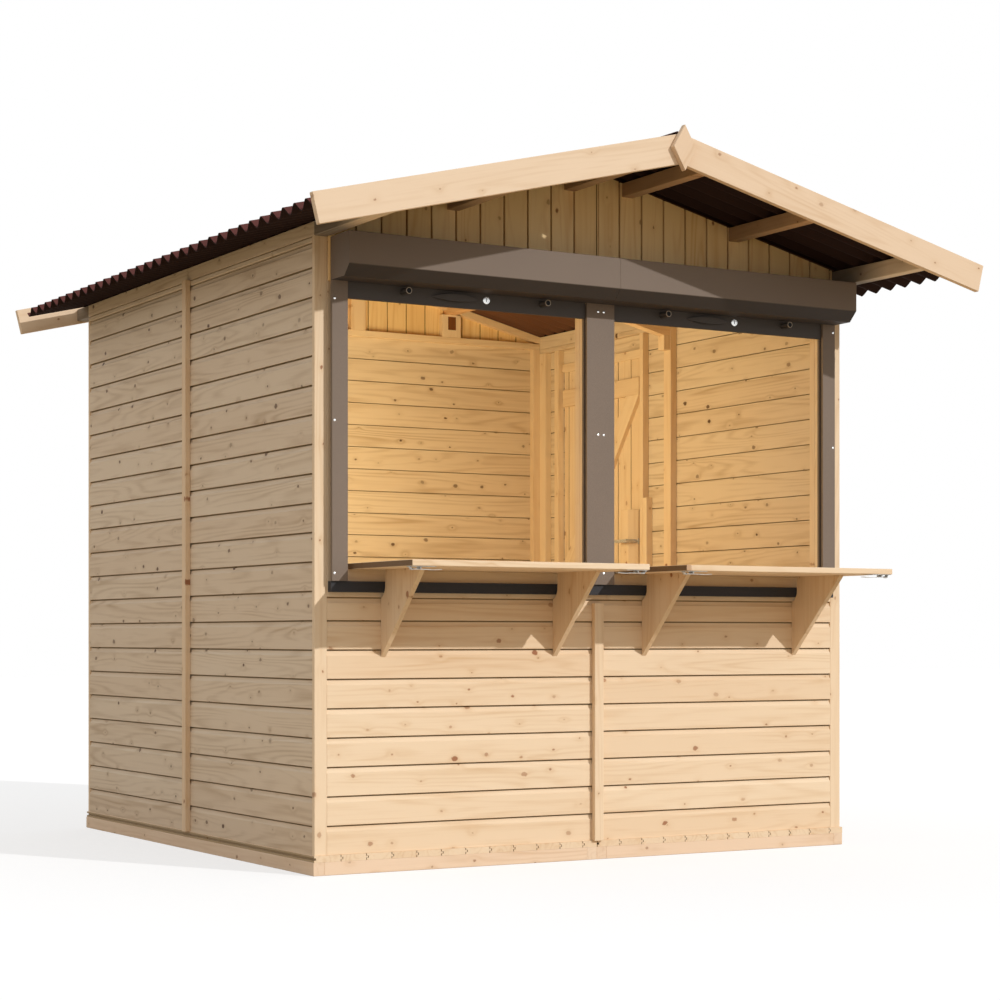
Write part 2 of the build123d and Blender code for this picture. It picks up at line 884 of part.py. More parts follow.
trims = (trim_face, shell_front)
save("corner_trims", [corner_trim(-1), corner_trim(1)])
front_batten = (front_batten_shift - front_batten_width / 2,
                front_batten_shift + front_batten_width / 2)
side_batten = (-batten_width / 2, batten_width / 2)
battens = [block(front_batten, trims, (floor_top, floor_top + front_batten_height))]
for side in (-1, 1):
    strip = mirrored((shell_x, shell_x + trim_thickness), side)
    battens.append(block(strip, side_batten, (floor_top, wall_top)))
back_strip = (shell_back, shell_back + trim_thickness)
battens.append(block(side_batten, back_strip, (floor_top, wall_top)))
save("cover_battens", battens)

save("front_gable", gable_boards(trims, box_low))
save("back_gable", gable_boards(back_boards, wall_top))

sill = (front_board_top, sill_top)
save("window_sills", [block(gap, (shell_front, room_front), sill)
                      for gap in (left_opening, right_opening)])
metal_sill = (-opening_edge - guide_width, opening_edge + guide_width)
save("shutter_sill", block(metal_sill, (shell_front - shutter_sill_depth, shell_front),
                           (guide_low - shutter_sill_height, guide_low)))
save("shutter_guides", [guide(-1), middle_guide(), guide(1)])
save("shutter_box_left", shutter_box(-1))
save("shutter_box_right", shutter_box(1))

front_board = (front_fascia_back - fascia_thickness, front_fascia_back)
rear_board = (rear_fascia_front, rear_fascia_front + fascia_thickness)
for side, name in ((-1, "left"), (1, "right")):
    save(f"rafters_{name}", rafters(side))
    save(f"roof_sheet_{name}", roof_sheet(side))
    save(f"fascia_{name}", [fascia(side, front_board), fascia(side, rear_board)])
save("purlins", [*purlins(-1), *purlins(1)])
save("frame_blocks", [*frame_blocks(), keep_block(), head_stop()])
save("ridge_cap", ridge_cap())
front_lozenge = (front_board[0] - fascia_thickness, front_board[0])
rear_lozenge = (rear_board[1], rear_board[1] + fascia_thickness)
save("fascia_lozenges", [diamond(front_lozenge), diamond(rear_lozenge)])

save("counter_brackets", brackets())
save("shutter_bars", [shutter_bar(middle) for middle in counter_middles])
for middle, name in zip(counter_middles, ("left", "right")):
    save(f"counter_{name}", counter(middle))
    save(f"counter_hardware_{name}", counter_hardware(middle))

save("door_leaf", door_leaf())
save("door_ledges", door_ledges())
save("door_lock_blocks", lock_blocks())
save("door_handles", door_handles())
save("door_straps", door_straps())
save("hinge_plates", [*strap_plates(), *counter_hinge_plates()])
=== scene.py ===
# %% [markdown]
# # A wooden market stall
# The stall is a small shed of planed spruce: a floor on bearers, four walls of
# overlapping boards on a light frame, a low gabled roof of corrugated bitumen
# sheet, and two selling openings with steel shutters and fold-up counters.
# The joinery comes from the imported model, which fixes every size. This script
# lays the boards, turns the screws and gives every surface its finish.

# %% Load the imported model
import json
import bpy
import numpy as np
from math import radians
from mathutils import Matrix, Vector

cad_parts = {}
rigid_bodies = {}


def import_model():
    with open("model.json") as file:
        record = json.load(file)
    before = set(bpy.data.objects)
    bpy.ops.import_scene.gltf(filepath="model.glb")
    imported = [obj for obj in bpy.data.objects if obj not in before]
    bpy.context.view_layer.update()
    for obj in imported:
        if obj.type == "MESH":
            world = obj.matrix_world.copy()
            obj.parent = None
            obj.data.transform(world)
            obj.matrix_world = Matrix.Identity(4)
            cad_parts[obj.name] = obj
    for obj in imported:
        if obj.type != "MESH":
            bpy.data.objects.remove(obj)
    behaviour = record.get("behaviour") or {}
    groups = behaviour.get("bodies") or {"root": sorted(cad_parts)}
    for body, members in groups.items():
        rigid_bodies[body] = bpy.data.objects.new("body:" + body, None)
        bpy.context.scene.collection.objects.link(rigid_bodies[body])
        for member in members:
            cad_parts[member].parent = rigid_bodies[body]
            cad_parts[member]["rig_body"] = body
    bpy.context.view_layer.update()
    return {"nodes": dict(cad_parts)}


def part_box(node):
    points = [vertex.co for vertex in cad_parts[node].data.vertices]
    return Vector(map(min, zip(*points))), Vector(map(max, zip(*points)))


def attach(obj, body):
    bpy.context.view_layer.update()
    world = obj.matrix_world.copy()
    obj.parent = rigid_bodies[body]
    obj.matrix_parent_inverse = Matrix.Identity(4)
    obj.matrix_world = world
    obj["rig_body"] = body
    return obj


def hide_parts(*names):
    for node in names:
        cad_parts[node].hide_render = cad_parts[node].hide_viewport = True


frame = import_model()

print("nodes in the model:", len(frame["nodes"]))

# %% [markdown]
# ## The camera
# A long lens from low down, turned about thirty degrees from the front, keeps
# the upright edges upright. The lens shift moves the picture up instead of
# tilting the camera, as an architect's camera does.

# %% Camera
camera_data = bpy.data.cameras.new("camera")
camera_data.lens = 79.34
camera_data.sensor_width = 36.0
camera_data.shift_y = 0.1368
camera_data.clip_end = 100.0
camera = bpy.data.objects.new("camera", camera_data)
camera.location = (-3.850, -6.925, 0.714)
camera.rotation_euler = (radians(90.0), 0.0, radians(-30.42))
bpy.context.scene.collection.objects.link(camera)
bpy.context.scene.camera = camera
bpy.context.scene.view_settings.view_transform = "Standard"

# %% [markdown]
# ## Nodes with short names
# A material is a small network. These helpers add one node, or one step of
# arithmetic, and join it up, so that a recipe below reads like a formula.

# %% Helpers for materials
def linear(red, green, blue):
    """Screen values from 0 to 255 as the linear colour that a shader works in."""
    screen = np.array([red, green, blue]) / 255
    low = screen / 12.92
    high = ((screen + 0.055) / 1.055) ** 2.4
    return (*np.where(screen <= 0.04045, low, high), 1.0)


def feed(tree, socket, value):
    """Joins a node's output to the socket, or sets a plain value there."""
    if isinstance(value, bpy.types.NodeSocket):
        tree.links.new(value, socket)
    else:
        socket.default_value = value


def node(tree, kind, inputs=None, **settings):
    made = tree.nodes.new("ShaderNode" + kind)
    for key, value in settings.items():
        setattr(made, key, value)
    for key, value in (inputs or {}).items():
        feed(tree, made.inputs[key], value)
    return made


def calc(tree, operation, *values, clamp=False):
    made = node(tree, "Math", operation=operation, use_clamp=clamp)
    for socket, value in zip(made.inputs, values):
        feed(tree, socket, value)
    return made.outputs[0]


def vector(tree, x, y, z):
    return node(tree, "CombineXYZ", {"X": x, "Y": y, "Z": z}).outputs[0]


def mix(tree, amount, first, second, how="MIX"):
    made = node(tree, "Mix", data_type="RGBA", blend_type=how)
    for socket, value in zip((made.inputs[0], made.inputs[6], made.inputs[7]), (amount, first, second)):
        feed(tree, socket, value)
    return made.outputs[2]


def noise(tree, place, scale, detail=2.0, roughness=0.5):
    inputs = {"Vector": place, "Scale": scale, "Detail": detail, "Roughness": roughness}
    return node(tree, "TexNoise", inputs).outputs["Fac"]


def scaled(tree, value, first, second, clamp=False):
    """value times first plus second."""
    return calc(tree, "MULTIPLY_ADD", value, first, second, clamp=clamp)


def split(tree, value):
    """The three parts of a vector or a colour."""
    return node(tree, "SeparateXYZ", {"Vector": value}).outputs


def surface_place(tree, kind="Object"):
    return node(tree, "TexCoord").outputs[kind]


def straight_to_eye(tree):
    """1 for rays that show what lies behind the stall: seen, mirrored or through glass."""
    rays = node(tree, "LightPath").outputs
    seen = calc(tree, "MAXIMUM", rays["Is Camera Ray"], rays["Is Glossy Ray"])
    return calc(tree, "MAXIMUM", seen, rays["Is Transmission Ray"])


def new_material(name):
    material = bpy.data.materials.new(name)
    material.use_nodes = True
    tree = material.node_tree
    return material, tree, tree.nodes["Principled BSDF"]


def dress(tree, shader, colour, roughness, shine=0.5, metal=0.0):
    feed(tree, shader.inputs["Base Color"], colour)
    feed(tree, shader.inputs["Roughness"], roughness)
    shader.inputs["Specular IOR Level"].default_value = shine
    shader.inputs["Metallic"].default_value = metal


def roughen(tree, shader, height, strength, distance):
    """Tilts the light as fine ups and downs of a skin would."""
    bump = node(tree, "Bump", {"Strength": strength, "Distance": distance, "Height": height})
    tree.links.new(bump.outputs[0], shader.inputs["Normal"])

# %% [markdown]
# ## Light
# A white surround and one strong lamp high on the right, set so that a board
# facing the front gets as much light in all as it needs to show its own colour.
# The side away from the lamp gets a little under half.

# %% Lamp and surround
world = bpy.data.worlds.new("studio")
bpy.context.scene.world = world
world.use_nodes = True
tree = world.node_tree
surround = 0.67         # how strongly it lights the stall; to the eye it has the strength 1
strength = scaled(tree, straight_to_eye(tree), 1.0 - surround, surround)
tree.nodes["Background"].inputs["Color"].default_value = (1.0, 1.0, 1.0, 1.0)
tree.links.new(strength, tree.nodes["Background"].inputs["Strength"])

lamp_data = bpy.data.lights.new("key lamp", "SUN")
lamp_data.energy = 2.07
lamp_data.angle = radians(0.8)
lamp = bpy.data.objects.new("key lamp", lamp_data)
shines = Vector((-0.513, 1.0, -0.581))
lamp.rotation_euler = shines.to_track_quat("-Z", "Y").to_euler()
bpy.context.scene.collection.objects.link(lamp)
print("surround", surround, "lamp", lamp_data.energy)

# %% [markdown]
# ## A work lamp inside
# A stall is lit inside for business. One large soft globe hangs in the room,
# and the boards pass its warm light on from wall to wall. Wood takes more blue
# than red out of it each time, so the room glows golden.

# %% Lamp in the room
inside_data = bpy.data.lights.new("work lamp", "POINT")
inside_data.shadow_soft_size = 0.35
inside_data.color = (1.0, 0.89, 0.53)
inside_data.energy = 31.0
inside = bpy.data.objects.new("work lamp", inside_data)
inside.location = (-0.3, 0.05, 1.4)
inside.visible_camera = False
inside.visible_glossy = False
bpy.context.scene.collection.objects.link(inside)
print("work lamp", inside_data.energy, "W")

# %% [markdown]
# ## The studio floor
# One sheet of card. A white one would throw too much light up at the stall, so
# it passes on a dim, warm light. To the camera it glows a little, which makes
# it as white as the surround, and it still darkens where light is kept off it.

# %% Floor
floor_reach, floor_cells, floor_level = 30.0, 12, -0.0006
floor_span = np.linspace(-floor_reach, floor_reach, floor_cells + 1)
grid_x, grid_y = np.meshgrid(floor_span, floor_span)
floor_points = np.stack([grid_x, grid_y, np.full_like(grid_x, floor_level)], -1).reshape(-1, 3)
row = floor_cells + 1
corner = (np.arange(floor_cells)[:, None] * row + np.arange(floor_cells)).ravel()
floor_faces = np.stack([corner, corner + 1, corner + row + 1, corner + row], -1)
floor_mesh = bpy.data.meshes.new("studio_floor")
floor_mesh.from_pydata(floor_points.tolist(), [], floor_faces.tolist())
studio_floor = bpy.data.objects.new("studio_floor", floor_mesh)
bpy.context.scene.collection.objects.link(studio_floor)

pale, tree, shader = new_material("pale_floor")
tree.nodes.remove(shader)
as_seen = straight_to_eye(tree)
passed_on, shown = (0.48, 0.365, 0.215, 1.0), (0.42, 0.42, 0.42, 1.0)
glow_strength = calc(tree, "MULTIPLY", as_seen, 0.62)
matt = node(tree, "BsdfDiffuse", {"Color": mix(tree, as_seen, passed_on, shown)})
glow = node(tree, "Emission", {"Color": (1.0, 1.0, 1.0, 1.0), "Strength": glow_strength})
both = node(tree, "AddShader")
tree.links.new(matt.outputs[0], both.inputs[0])
tree.links.new(glow.outputs[0], both.inputs[1])
tree.links.new(both.outputs[0], tree.nodes["Material Output"].inputs["Surface"])
floor_mesh.materials.append(pale)
print("studio floor:", len(floor_faces), "faces")

# %% [markdown]
# ## Planed spruce
# Every board carries its own measure of the log it was sawn from: metres along
# the grain, across it and through it, starting at a place of its own. The
# finish is worked out in that measure, so grain runs along each board whichever
# way the board is laid, turns the corner at its edges, and no two boards match.
#
# - Growth rings: a slow noise, stretched along the grain, is read as a height
#   map, and its contour lines are the rings. They give straight streaks and
#   long pointed arches.
# - Knots: points scattered at random, each a small dark disc with an uneven
#   edge. They lift the height map, so that the rings flow round them.
# - Fibres: a much finer noise stretched further.
# - Each board has its own tone.
# - Faces inside the joints between boards are painted darker, partly as dust
#   and resin and partly as painted shade. A sawn end is darker than a planed
#   face because its open pores drink the oil; on the counters the ends are
#   painted much darker still, as painted shade.
# - Purlins are painted darker where they come out under the roof, beside the
#   gables: painted shade.

# %% The timber finish
wall_face = 0.975       # the gable walls' outer faces, from the middle of the stall


def timber(name, light, late, knot_colour, spread=0.5, kept_node=False, knots=1.0,
           end_dark=0.04, eaves_painted_shade=0.0, painted_shade_reach=1.0):
    """Planed spruce. light and late are the colours of early and late wood. A kept_node
    of the model has no boards' measure, so its place in the stall is read instead.
    The eaves arguments paint shade where the wood leaves the gable walls: the first
    is how dark it gets, and it fades over the outer half of the second."""
    material, tree, shader = new_material(name)
    if kept_node:
        place = surface_place(tree)
        cell = node(tree, "VectorMath", {0: place, 1: (0.0, 3.1, 0.0)}, operation="MULTIPLY")
        cell = node(tree, "VectorMath", {0: cell.outputs[0]}, operation="FLOOR").outputs[0]
        board = node(tree, "TexWhiteNoise", {"Vector": cell}).outputs["Value"]
    else:
        place = node(tree, "Attribute", attribute_name="grain").outputs["Vector"]
        board = node(tree, "Attribute", attribute_name="board").outputs["Fac"]
    u, v, w = split(tree, place)

    def times(first, second):
        return calc(tree, "MULTIPLY", first, second)

    def streaks(along, across, detail, roughness):
        """A noise whose patches are 1 / along metres long and 1 / across wide."""
        stretched = vector(tree, times(u, along), times(v, across), times(w, across))
        return noise(tree, stretched, 1.0, detail, roughness)

    points = node(tree, "TexVoronoi", {"Vector": vector(tree, times(u, 0.7), v, 0.0), "Scale": 10.0},
                  voronoi_dimensions="2D")
    away = points.outputs["Distance"]
    bigness, presence, boldness = split(tree, points.outputs["Color"])
    there = calc(tree, "GREATER_THAN", presence, 1.0 - 0.85 * knots)
    size = scaled(tree, calc(tree, "POWER", bigness, 2.5), 0.060, 0.030)
    wobble = noise(tree, vector(tree, u, v, w), 110.0, 3.0, 0.6)
    reach = scaled(tree, wobble, 0.09, away)
    disc = calc(tree, "SUBTRACT", size, calc(tree, "SUBTRACT", reach, 0.045))
    disc = times(calc(tree, "MULTIPLY", disc, 36.0, clamp=True), there)
    disc = times(disc, scaled(tree, boldness, 0.7, 0.35, clamp=True))
    near = calc(tree, "SUBTRACT", 1.0, calc(tree, "DIVIDE", away, 0.34), clamp=True)
    near = times(calc(tree, "POWER", near, 3.0), there)

    height = scaled(tree, near, 0.05, streaks(0.5, 7.0, 2.0, 0.45))
    rings = calc(tree, "SINE", times(height, 120.0))
    rings = calc(tree, "POWER", scaled(tree, rings, 0.5, 0.5), 2.0)
    fibre = streaks(4.0, 170.0, 3.0, 0.6)
    cloud = streaks(1.8, 16.0, 3.0, 0.6)
    amount = times(rings, times(calc(tree, "SUBTRACT", cloud, 0.25), spread * 1.5))
    amount = scaled(tree, calc(tree, "SUBTRACT", fibre, 0.5), 0.5, amount)
    amount = scaled(tree, calc(tree, "SUBTRACT", cloud, 0.5), 0.7, amount, clamp=True)

    colour = node(tree, "HueSaturation", {
        "Color": mix(tree, amount, light, late),
        "Hue": scaled(tree, board, 0.004, 0.498),
        "Saturation": scaled(tree, board, -0.10, 1.05),
        "Value": scaled(tree, board, 0.05, 0.975),
    }).outputs[0]
    colour = mix(tree, times(near, 0.35), colour, late)
    colour = mix(tree, calc(tree, "MULTIPLY", disc, 0.9, clamp=True), colour, knot_colour)
    if not kept_node:
        end = node(tree, "Attribute", attribute_name="end").outputs["Fac"]
        colour = mix(tree, times(end, end_dark), colour, (0.15, 0.082, 0.037, 1.0))
        # Joint faces painted darker: partly dust and resin, partly painted shade in the slots.
        joint = node(tree, "Attribute", attribute_name="joint").outputs["Fac"]
        colour = mix(tree, times(joint, 0.62), colour, (0.19, 0.105, 0.014, 1.0))
    # Painted shade: darker where the wood comes out past the gable walls, under the roof.
    if eaves_painted_shade:
        depth = split(tree, surface_place(tree))[1]
        past = calc(tree, "SUBTRACT", calc(tree, "ABSOLUTE", depth), wall_face)
        eaves_shade = scaled(tree, past, -2.0 / painted_shade_reach, 2.0, clamp=True)
        eaves_shade = times(times(eaves_shade, calc(tree, "GREATER_THAN", past, 0.0)), eaves_painted_shade)
        colour = mix(tree, eaves_shade, colour, linear(20, 12, 8))
    dress(tree, shader, colour, scaled(tree, rings, -0.08, 0.72), shine=0.25)
    rim = times(disc, calc(tree, "SUBTRACT", 1.25, disc))
    relief = scaled(tree, rings, 0.25, scaled(tree, rim, 0.6, fibre))
    roughen(tree, shader, relief, 0.3, 0.0005)
    return material


front_wood = linear(235, 210, 178), linear(207, 168, 121), linear(150, 92, 58)
spruce = timber("planed_spruce", *front_wood)
# The counters' sawn ends are painted much darker than other ends: painted shade on those faces.
spruce_counter = timber("spruce_counters", *front_wood, end_dark=0.95)
spruce_pale = timber("spruce_base", linear(236, 211, 184), linear(208, 173, 134), linear(138, 92, 64))
spruce_fascia = timber("spruce_fascia", linear(226, 200, 171), linear(200, 164, 123), linear(138, 88, 58))
# The purlins get a darker, warmer copy of the spruce: painted shade for their place under the roof, and
# painted shade where they leave the gables.
spruce_purlin_painted_shade = timber("purlins_painted_shade", linear(230, 190, 147), linear(198, 152, 108), linear(130, 80, 48),
                       eaves_painted_shade=0.45, painted_shade_reach=0.6)
spruce_dark = timber("dark_inlay", linear(122, 74, 40), linear(84, 48, 24), linear(60, 34, 18))
# The side and back walls, their plates and wall purlins get a greyer copy of the spruce: painted shade,
# for the cool tone the walls show in shade. The wall purlins also get painted shade where they leave the
# gables.
cool_shade_wood = linear(225, 205, 180), linear(184, 156, 123), linear(80, 48, 32), 0.8
spruce_painted_cool_shade = timber("spruce_wall_boards", *cool_shade_wood)
spruce_wall_purlin_painted_shade = timber("wall_purlins_painted_shade", *cool_shade_wood, eaves_painted_shade=0.68, painted_shade_reach=0.3)
# The gables get a warmer, more saturated copy of the spruce: painted warm light, for the light that
# reaches them in the shade of the roof.
spruce_gable_painted_warm_light = timber("gable_boards_painted_warm_light", linear(247, 214, 160), linear(214, 163, 102),
                      linear(130, 80, 44), 0.6, knots=0.6)
spruce_rafter = timber("spruce_frame_x", linear(240, 212, 176), linear(210, 165, 118), linear(105, 66, 40),
                       kept_node=True)
print("timber finishes ready")

# %% [markdown]
# ## Boards as rings of corners
# A board is a chain of rings: the same outline repeated along it, a little
# smaller at each end for the eased edge. `skin` closes such a chain, and
# `timber_piece` gathers many boards into one object with their measures.

# %% Boards from rings
def skin(rings):
    """Points and faces of a closed chain. Corner j of a ring joins corner j+1 and the next
    ring, and one face closes each end. The rings turn to the right about the way in which
    they follow one another, so that all faces point outwards."""
    count, corners = rings.shape[:2]
    middle = rings.mean(1)
    first = rings[0] - middle[0]
    area = np.cross(first, np.roll(first, -1, 0)).sum(0)
    if area @ (middle[-1] - middle[0]) < 0:
        rings = rings[:, ::-1]
    ring, corner = np.meshgrid(np.arange(count - 1), np.arange(corners), indexing="ij")
    a = (ring * corners + corner).ravel()
    b = (ring * corners + (corner + 1) % corners).ravel()
    sides = np.stack([a, b, b + corners, a + corners], -1).tolist()
    ends = [np.arange(corners)[::-1].tolist(), (np.arange(corners) + (count - 1) * corners).tolist()]
    return rings.reshape(-1, 3), sides + ends


def joined(name, skins):
    """One mesh from closed skins, each given as its points and its faces."""
    faces, start = [], 0
    for points, sides in skins:
        faces += [[index + start for index in face] for face in sides]
        start += len(points)
    mesh = bpy.data.meshes.new(name)
    mesh.from_pydata(np.concatenate([points for points, _ in skins]).tolist(), [], faces)
    return mesh


def unit(value):
    value = np.asarray(value, float)
    return value / np.linalg.norm(value)


chance = np.random.default_rng(11)


def put(name, mesh, finish, body, nodes):
    """Shows a mesh as a piece that moves with a body and stands for some nodes."""
    mesh.materials.append(finish)
    piece = bpy.data.objects.new(name, mesh)
    bpy.context.scene.collection.objects.link(piece)
    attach(piece, body)
    if nodes:
        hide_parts(*nodes)
    return piece


def timber_piece(name, boards, finish, body, nodes):
    """One object from boards given as (rings, direction of the grain, direction of the face),
    and for a profiled board the edges of its outline that lie in a joint."""
    skins = [skin(board[0]) for board in boards]
    mesh = joined(name, skins)
    grain, tone, grain_way, dust_and_shade = [], [], [], []
    for (rings, along, out, *joint), (corners, sides) in zip(boards, skins):
        shade, count = np.zeros(len(sides)), rings.shape[1]
        turned_round = not np.array_equal(corners[0], rings[0, 0])
        # Faces in a joint are marked for darkening: dust and resin, and painted shade.
        for edge in joint[0] if joint else ():
            shade[(count - 2 - edge) % count if turned_round else edge:-2:count] = 1.0
        dust_and_shade.append(shade)
        measure = np.stack([unit(along), unit(np.cross(out, along)), unit(out)], 1)
        grain.append(corners @ measure + chance.uniform(0.0, 40.0, 3))
        tone.append(np.full(len(corners), chance.random()))
        grain_way += [unit(along)] * len(sides)
    normals = np.empty(len(mesh.polygons) * 3)
    mesh.polygons.foreach_get("normal", normals)
    end = np.abs((normals.reshape(-1, 3) * np.array(grain_way)).sum(1)) ** 4
    measure = mesh.attributes.new("grain", "FLOAT_VECTOR", "POINT")
    measure.data.foreach_set("vector", np.concatenate(grain).ravel())
    for key, domain, values in (("board", "POINT", np.concatenate(tone)), ("end", "FACE", end),
                                ("joint", "FACE", np.concatenate(dust_and_shade))):
        mesh.attributes.new(key, "FLOAT", domain).data.foreach_set("value", values)
    print(f"{name}: {len(boards)} boards, {len(mesh.polygons)} faces")
    return put(name, mesh, finish, body, nodes)

# %% [markdown]
# ## Straight timbers
# Most of the frame is sawn to a plain section. `cut_corners` eases the long
# edges of an outline and `shrunk` draws it in for the ends, so that every edge
# of a bar has a narrow bevel that catches the light.

# %% Sawn bars
def cut_corners(outline, ease):
    """Each corner becomes two points, ease away from it along its two edges."""
    back = np.roll(outline, 1, 0) - outline
    ahead = np.roll(outline, -1, 0) - outline
    back /= np.linalg.norm(back, axis=1, keepdims=True)
    ahead /= np.linalg.norm(ahead, axis=1, keepdims=True)
    return np.stack([outline + back * ease, outline + ahead * ease], 1).reshape(-1, 2)


def shrunk(outline, ease):
    """The outline with every edge moved inwards by ease: a corner p moves by
    ease (n1 + n2) / (1 + n1.n2), where n1 and n2 are the inward normals of its edges."""
    edge = np.roll(outline, -1, 0) - outline
    edge /= np.linalg.norm(edge, axis=1, keepdims=True)
    ahead = np.roll(outline, -1, 0)
    turn = np.sign((outline[:, 0] * ahead[:, 1] - outline[:, 1] * ahead[:, 0]).sum())
    after = np.stack([-edge[:, 1], edge[:, 0]], 1) * turn
    before = np.roll(after, 1, 0)
    return outline + ease * (after + before) / (1.0 + (after * before).sum(1, keepdims=True))


def slab(outline, axis, low, high, ease=0.0012):
    """Rings of a straight piece: the outline lies across axis and is carried from low to high."""
    full = cut_corners(outline, ease)
    small = shrunk(full, ease * 0.7)
    others = [i for i in range(3) if i != axis]
    rings = np.zeros((4, len(full), 3))
    rings[:, :, others] = np.stack([small, full, full, small])
    rings[:, :, axis] = np.array([low, low + ease, high - ease, high])[:, None]
    return rings


def rectangle(left, right, low, high):
    return np.array([(left, low), (right, low), (right, high), (left, high)])


def solids(name):
    """The corners of each separate solid of a node: joined corners share the lowest label."""
    mesh = frame["nodes"][name].data
    points = np.empty(len(mesh.vertices) * 3)
    mesh.vertices.foreach_get("co", points)
    triangles = np.empty(len(mesh.polygons) * 3, np.int32)
    mesh.polygons.foreach_get("vertices", triangles)
    spots, same = np.unique(np.round(points.reshape(-1, 3), 5), axis=0, return_inverse=True)
    corners = same.ravel()[triangles.reshape(-1, 3)]
    label = np.arange(len(spots))
    while True:
        lower = label.copy()
        np.minimum.at(lower, corners, label[corners].min(1, keepdims=True).repeat(3, 1))
        if (lower == label).all():
            return [spots[label == value] for value in np.unique(label)]
        label = lower


def bar(points, ease=0.0012, axis=None):
    """A straight solid of the model as an eased bar: its outline is its corners seen along
    the axis, in order of their angle round the middle, and the grain follows its longest edge."""
    size = np.ptp(points, 0)
    axis = int(np.argmax(size)) if axis is None else axis
    others = [i for i in range(3) if i != axis]
    flat = np.unique(np.round(points[:, others], 5), axis=0)
    turn = flat - flat.mean(0)
    outline = flat[np.argsort(np.arctan2(turn[:, 1], turn[:, 0]))]
    edge = np.roll(outline, -1, 0) - outline
    length = np.linalg.norm(edge, axis=1)
    along, out = np.zeros(3), np.zeros(3)
    if length.max() > size[axis]:
        along[others] = edge[np.argmax(length)]
        out[axis] = 1.0
    else:
        along[axis] = 1.0
        out[others[int(np.argmin(size[others]))]] = 1.0
    return slab(outline, axis, points[:, axis].min(), points[:, axis].max(), ease), along, out


def sawn(node_name, axis=None, finish=spruce, ease=0.0012):
    """Eased bars in place of a whole node of the model."""
    boards = [bar(points, ease, axis) for points in solids(node_name)]
    body = frame["nodes"][node_name]["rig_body"]
    return timber_piece(node_name + "_timber", boards, finish, body, [node_name])

# %% [markdown]
# ## Cladding
# The wall boards are drop siding: a flat face, a square lower edge, and along
# the top a hollow that runs up behind the board above. The hollow draws the
# dark line under each board, and where a corner board or a strip crosses it a
# small dark pocket is left. Inside, the joints show as narrow grooves.
# A profile carried along each board gives all of that.

# %% The cladding profile
board_cover = 0.088
board_thick = 0.016
hollow_height = 0.019
hollow_depth = 0.0052
slot_height, slot_depth = 0.0046, 0.0110    # outside, under the lip of the board above
inner_low, inner_high = 0.0040, 0.0074      # heights of the joint seen from inside
inner_depth = 0.009
least_cover = 0.010                         # a narrower rest is added to the board below it


def siding(cover):
    """Outline of one board (height, distance out). Over the hollow the face draws back by
    depth (1 - (t / height)^2.2), where t is the distance below the slot."""
    top = cover - slot_height
    below = np.linspace(1.0, 0.0, 6)
    hollow = np.stack([top - (hollow_height - slot_height) * below,
                       board_thick - hollow_depth * (1.0 - below ** 2.2)], 1)
    lower = [(0.0, 0.0), (0.0, board_thick - 0.0007), (0.0007, board_thick)]
    upper = [(top, board_thick - slot_depth), (cover, board_thick - slot_depth), (cover, 0.0),
             (inner_high, 0.0), (inner_high, inner_depth), (inner_low, inner_depth), (inner_low, 0.0)]
    return np.concatenate([lower, hollow, upper])


siding_joint = (0, 8, 9, 12, 13, 14)      # edges of that outline inside the slots


def straight_board(profile, start, end, along, across, out, joint=()):
    """Rings at the two ends of a board whose outline is given across and out from the origin."""
    along, across, out = (np.asarray(axis, float) for axis in (along, across, out))
    flat = profile[:, :1] * across + profile[:, 1:] * out
    ends = np.broadcast_to(start, len(profile)), np.broadcast_to(end, len(profile))
    return np.stack([flat + reach[:, None] * along for reach in ends]), along, out, joint


up = (0.0, 0.0, 1.0)


def courses(low, high, start, end, along, inner, out):
    """Level boards one above another from low to high, on a frame face at distance inner."""
    boards = []
    for bottom in np.arange(low, high - least_cover, board_cover):
        cover = min(board_cover, high - bottom)
        if high - bottom - cover < least_cover:
            cover = high - bottom
        profile = siding(cover) + (bottom, inner)
        boards.append(straight_board(profile, start, end, along, up, out, siding_joint))
    return boards


rear_strip = Vector((0.957, 0.960, 1.894))      # inner edge, near face and top of a rear corner strip


def clad(node_name, out, finish=spruce_painted_cool_shade):
    """Boards in place of a plain wall panel of the model, facing out. At the rear corners
    they stop against the strips."""
    low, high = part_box(node_name)
    if out[0]:
        high.y = min(high.y, rear_strip.y)
    else:
        low.x, high.x = max(low.x, -rear_strip.x), min(high.x, rear_strip.x)
    out = np.asarray(out, float)
    side = 0 if out[0] else 1
    run = 1 - side
    along = np.eye(3)[run]
    inner = min(low[side] * out[side], high[side] * out[side])
    boards = courses(low.z, high.z, low[run], high[run], along, inner, out)
    return timber_piece(node_name + "_boards", boards, finish, "stall", [node_name])


for side, out in (("left", (-1, 0, 0)), ("right", (1, 0, 0))):
    for part in ("front", "rear"):
        clad(f"{side}_wall_{part}", out)
clad("right_wall_middle", (1, 0, 0))
clad("right_wall_over_door", (1, 0, 0))
for side in ("left", "right"):
    clad(f"back_wall_{side}", (0, 1, 0))
    clad(f"front_wall_{side}", (0, -1, 0), spruce)

shell_low, shell_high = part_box("left_wall_rear")
strips = []
for side in (-1.0, 1.0):
    left, right = sorted((side * rear_strip.x, -side * shell_low.x))
    corners = [(x, y, z) for x in (left, right) for y in (rear_strip.y, shell_high.y)
               for z in (shell_low.z, rear_strip.z)]
    strips.append(bar(np.array(corners)))
timber_piece("rear_corner_strips", strips, spruce, "stall", [])

# %% [markdown]
# ## Gable boards
# The gables are upright tongued boards with a slot along every joint. A profile
# is carried along each again, up to an end that follows the slope of the roof.

